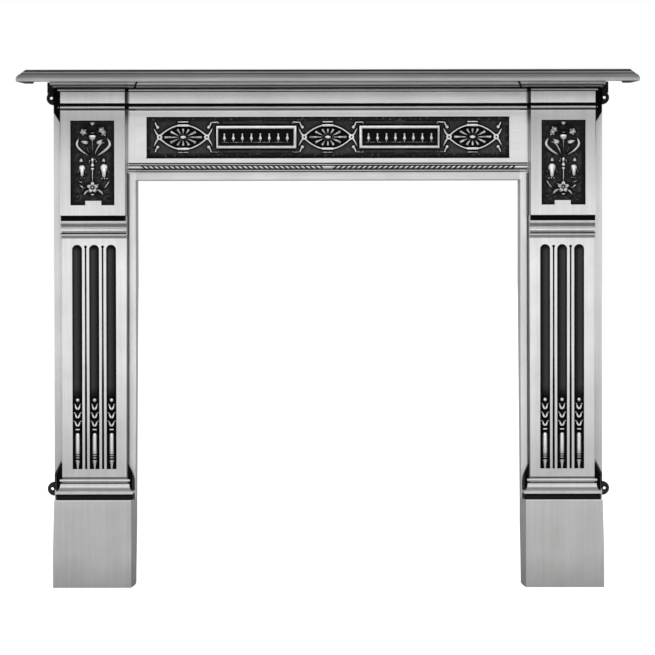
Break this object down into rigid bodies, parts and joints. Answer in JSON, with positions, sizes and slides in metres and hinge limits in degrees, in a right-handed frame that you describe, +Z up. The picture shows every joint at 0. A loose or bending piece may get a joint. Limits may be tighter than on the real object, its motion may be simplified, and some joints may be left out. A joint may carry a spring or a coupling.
{
  "type": "cast iron mantel surround",
  "caption": "Polished cast iron mantel surround: moulded shelf, ornamented frieze and fluted legs on plinths round an open fire opening.",
  "frame": {"origin": "on the floor, under the middle of the surround's width and depth", "axes": "+X to the right along the shelf, +Y towards the wall, +Z up"},
  "size_m": [1.524, 0.23, 1.28],
  "materials": {
    "polished_iron": "bare iron brushed and polished bright, black left in its recesses",
    "blacked_iron": "black grate polish, high points rubbed back to bright iron",
    "zinc_steel": "dull zinc plate"
  },
  "bodies": {
    "root": {"mantel_shelf": "polished_iron", "frieze": "polished_iron", "left_leg": "polished_iron", "right_leg": "polished_iron", "left_plinth": "polished_iron", "right_plinth": "polished_iron", "frieze_panel": "blacked_iron", "left_leg_panel": "blacked_iron", "right_leg_panel": "blacked_iron", "upper_left_lug": "blacked_iron", "upper_right_lug": "blacked_iron", "lower_left_lug": "blacked_iron", "lower_right_lug": "blacked_iron", "shelf_studs": "zinc_steel", "shelf_washers": "zinc_steel", "shelf_nuts": "zinc_steel", "frieze_bolts": "zinc_steel", "frieze_washers": "zinc_steel", "frieze_nuts": "zinc_steel", "plinth_bolts": "zinc_steel", "plinth_washers": "zinc_steel", "plinth_nuts": "zinc_steel", "lug_bolts": "zinc_steel", "lug_nuts": "zinc_steel", "leg_panel_screws": "zinc_steel", "frieze_panel_screws": "zinc_steel"}
  },
  "joints": []
}
